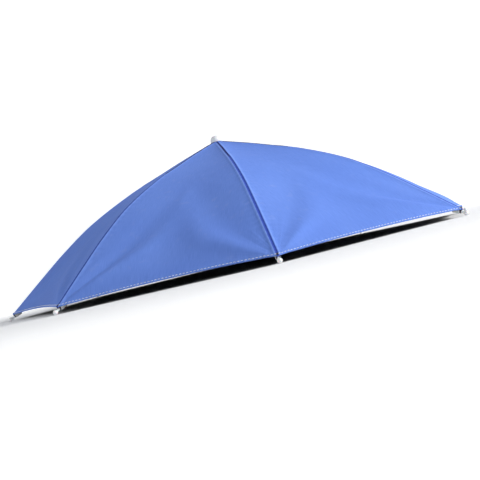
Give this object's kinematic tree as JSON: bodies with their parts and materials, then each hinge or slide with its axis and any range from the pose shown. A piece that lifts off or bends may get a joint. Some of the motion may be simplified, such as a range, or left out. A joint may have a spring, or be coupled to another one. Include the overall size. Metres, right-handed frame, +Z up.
{
  "type": "umbrella hat",
  "caption": "Hands-free umbrella hat: a domed cloth canopy on steel ribs with white tips, held by curved arms over an elastic headband.",
  "frame": {"origin": "centre of the footprint, on the surface that the hat stands on with its eight rib tips", "axes": "+Z up along the canopy's axis, -Y towards the wearer's front, +X to the wearer's left"},
  "size_m": [0.6622, 0.6622, 0.1859],
  "materials": {
    "canopy_cloth": "blue woven polyester outside, dark navy coated underside",
    "rib_steel": "black painted steel wire, half gloss",
    "white_plastic": "white moulded plastic, half gloss",
    "black_plastic": "black moulded plastic, satin",
    "rivet_metal": "grey steel rivet",
    "band_elastic": "black ribbed knitted elastic"
  },
  "bodies": {
    "root": {"canopy_panel_1": "canopy_cloth", "canopy_panel_2": "canopy_cloth", "canopy_panel_3": "canopy_cloth", "canopy_panel_4": "canopy_cloth", "canopy_panel_5": "canopy_cloth", "canopy_panel_6": "canopy_cloth", "canopy_panel_7": "canopy_cloth", "canopy_panel_8": "canopy_cloth", "rib_1": "rib_steel", "rib_2": "rib_steel", "rib_3": "rib_steel", "rib_4": "rib_steel", "rib_5": "rib_steel", "rib_6": "rib_steel", "rib_7": "rib_steel", "rib_8": "rib_steel", "rib_tip_1": "white_plastic", "rib_tip_2": "white_plastic", "rib_tip_3": "white_plastic", "rib_tip_4": "white_plastic", "rib_tip_5": "white_plastic", "rib_tip_6": "white_plastic", "rib_tip_7": "white_plastic", "rib_tip_8": "white_plastic", "top_cap": "white_plastic", "crown_hub": "black_plastic", "band_arm_1": "black_plastic", "band_arm_2": "black_plastic", "band_arm_3": "black_plastic", "band_arm_4": "black_plastic", "band_clip_1": "black_plastic", "band_clip_2": "black_plastic", "band_clip_3": "black_plastic", "band_clip_4": "black_plastic", "arm_rivet_1": "rivet_metal", "arm_rivet_2": "rivet_metal", "arm_rivet_3": "rivet_metal", "arm_rivet_4": "rivet_metal", "headband": "band_elastic"}
  },
  "joints": []
}
